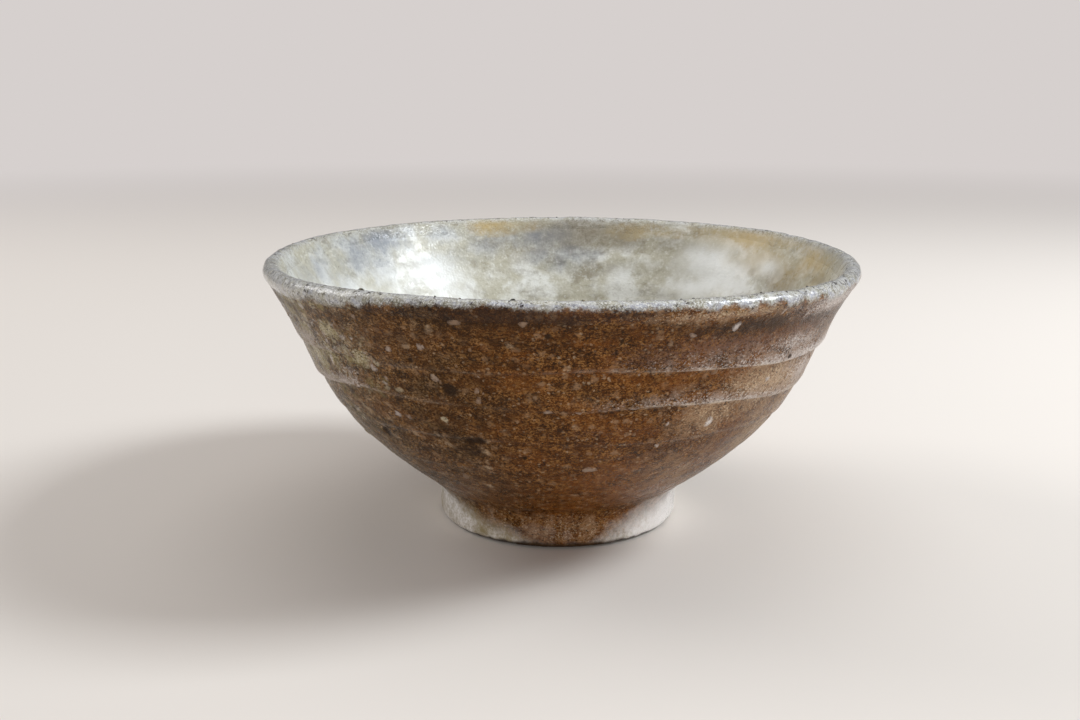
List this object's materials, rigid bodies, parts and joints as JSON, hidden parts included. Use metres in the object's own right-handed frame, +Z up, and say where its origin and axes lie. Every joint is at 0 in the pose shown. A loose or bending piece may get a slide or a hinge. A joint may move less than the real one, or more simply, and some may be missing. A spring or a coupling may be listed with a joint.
{
  "type": "tea bowl",
  "caption": "Wheel-thrown tea bowl with a wide flared wall, rounded lip and small turned foot ring, mottled brown ash glaze outside and pale glaze inside.",
  "frame": {"origin": "centre of the foot ring's base, on the bowl's axis at table height", "axes": "+Z up along the bowl's axis, -Y towards the picture's viewer, +X to the viewer's right"},
  "size_m": [0.13, 0.13, 0.0604],
  "materials": {
    "clay_body": "unglazed, pale buff fired clay, finely gritty",
    "foot_clay": "pale clay under a thin, broken, milky ash glaze, mottled white and olive",
    "brown_ash_glaze": "semi-gloss, finely mottled brown with olive ash patches and a dark band under the lip",
    "lip_ash_glaze": "glossy grey-white ash glaze with a fine sparkle",
    "inner_ash_glaze": "glossy cream and grey-green ash glaze with bluish-grey and ochre clouds",
    "feldspar": "milky white, softly melted",
    "kiln_grit": "dark, rough, half melted"
  },
  "bodies": {
    "root": {"bowl_wall": "clay_body", "foot_ring": "foot_clay", "outer_glaze": "brown_ash_glaze", "rim_glaze": "lip_ash_glaze", "inner_glaze": "inner_ash_glaze", "foot_glaze_run": "brown_ash_glaze", "feldspar_grains": "feldspar", "kiln_grit": "kiln_grit"}
  },
  "joints": []
}
